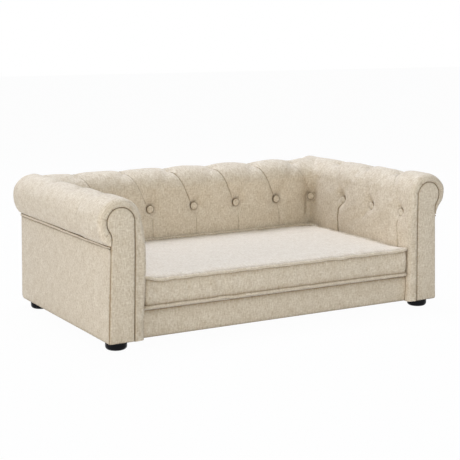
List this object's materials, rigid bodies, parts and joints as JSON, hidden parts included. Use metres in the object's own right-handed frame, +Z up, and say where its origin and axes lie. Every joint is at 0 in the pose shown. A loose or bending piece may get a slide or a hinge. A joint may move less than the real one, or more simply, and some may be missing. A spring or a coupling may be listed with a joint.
{
  "type": "dog sofa bed",
  "caption": "Small tufted scroll-arm sofa bed for a dog: wooden frame with foam and linen-weave upholstery, covered buttons, a loose zipped box cushion and round black feet.",
  "frame": {"origin": "on the floor, under the middle of the sofa's bounding box", "axes": "+X to the right along the sofa's width as a viewer in front of it sees it, +Y from the arm fronts to the flat back, +Z up"},
  "size_m": [0.967, 0.551, 0.3465],
  "materials": {
    "linen": "heathered beige linen weave",
    "linen_light": "heathered beige linen weave, laid flat",
    "foam": "open-cell foam",
    "pine": "planed pine",
    "plywood": "raw plywood",
    "hardboard": "hardboard",
    "dust_cloth": "spunbonded dust cloth",
    "feet": "gloss black moulded plastic",
    "steel": "zinc-plated steel",
    "twine": "waxed upholstery twine"
  },
  "bodies": {
    "sofa": {"seat_deck_board": "plywood", "deck_cloth": "linen_light", "front_rail_board": "pine", "rear_rail_board": "pine", "side_rail_left": "pine", "side_rail_right": "pine", "centre_bearer": "pine", "arm_front_board_left": "plywood", "arm_front_board_right": "plywood", "arm_rear_board_left": "plywood", "arm_rear_board_right": "plywood", "arm_top_rail_left": "pine", "arm_top_rail_right": "pine", "arm_bottom_rail_left": "pine", "arm_bottom_rail_right": "pine", "arm_inner_board_left": "hardboard", "arm_inner_board_right": "hardboard", "arm_outer_board_left": "hardboard", "arm_outer_board_right": "hardboard", "arm_roll_core_left": "foam", "arm_roll_core_right": "foam", "arm_pad_left": "linen", "arm_pad_right": "linen", "side_panel_left": "linen", "side_panel_right": "linen", "roll_welt_left": "linen", "roll_welt_right": "linen", "arm_facing_left": "linen", "arm_facing_right": "linen", "back_inner_board": "hardboard", "back_outer_board": "hardboard", "back_top_rail": "pine", "back_bottom_rail": "pine", "back_posts": "pine", "back_roll_core": "foam", "back_pad": "linen", "back_outer_cover": "linen", "front_rail_cover": "linen", "dust_cover": "dust_cloth", "foot_blocks": "pine", "foot_front_left": "feet", "foot_front_right": "feet", "foot_rear_left": "feet", "foot_rear_right": "feet", "foot_screws": "steel", "frame_screws": "steel", "back_buttons": "linen", "arm_buttons_left": "linen", "arm_buttons_right": "linen", "button_ties": "twine", "tie_washers": "steel"},
    "cushion": {"cushion_foam": "foam", "cushion_top_panel": "linen_light", "cushion_bottom_panel": "linen_light", "cushion_boxing": "linen", "cushion_welt_top": "linen", "cushion_welt_bottom": "linen", "zip_tape": "linen_light"},
    "slider": {"zip_slider": "steel"},
    "pull": {"zip_pull": "steel"}
  },
  "joints": [
    {"name": "cushion_lift", "type": "slide", "parent": "sofa", "child": "cushion", "axis": [0, -0.28, 0.96], "range_m": [0, 0.3]},
    {"name": "zip_travel", "type": "slide", "parent": "cushion", "child": "slider", "axis": [-1, 0, 0], "range_m": [0, 0.49]},
    {"name": "zip_pull_swing", "type": "hinge", "parent": "slider", "child": "pull", "pos_m": [0.245, 0.17419, 0.12565], "axis": [1, 0, 0], "range_deg": [0, 12]}
  ]
}
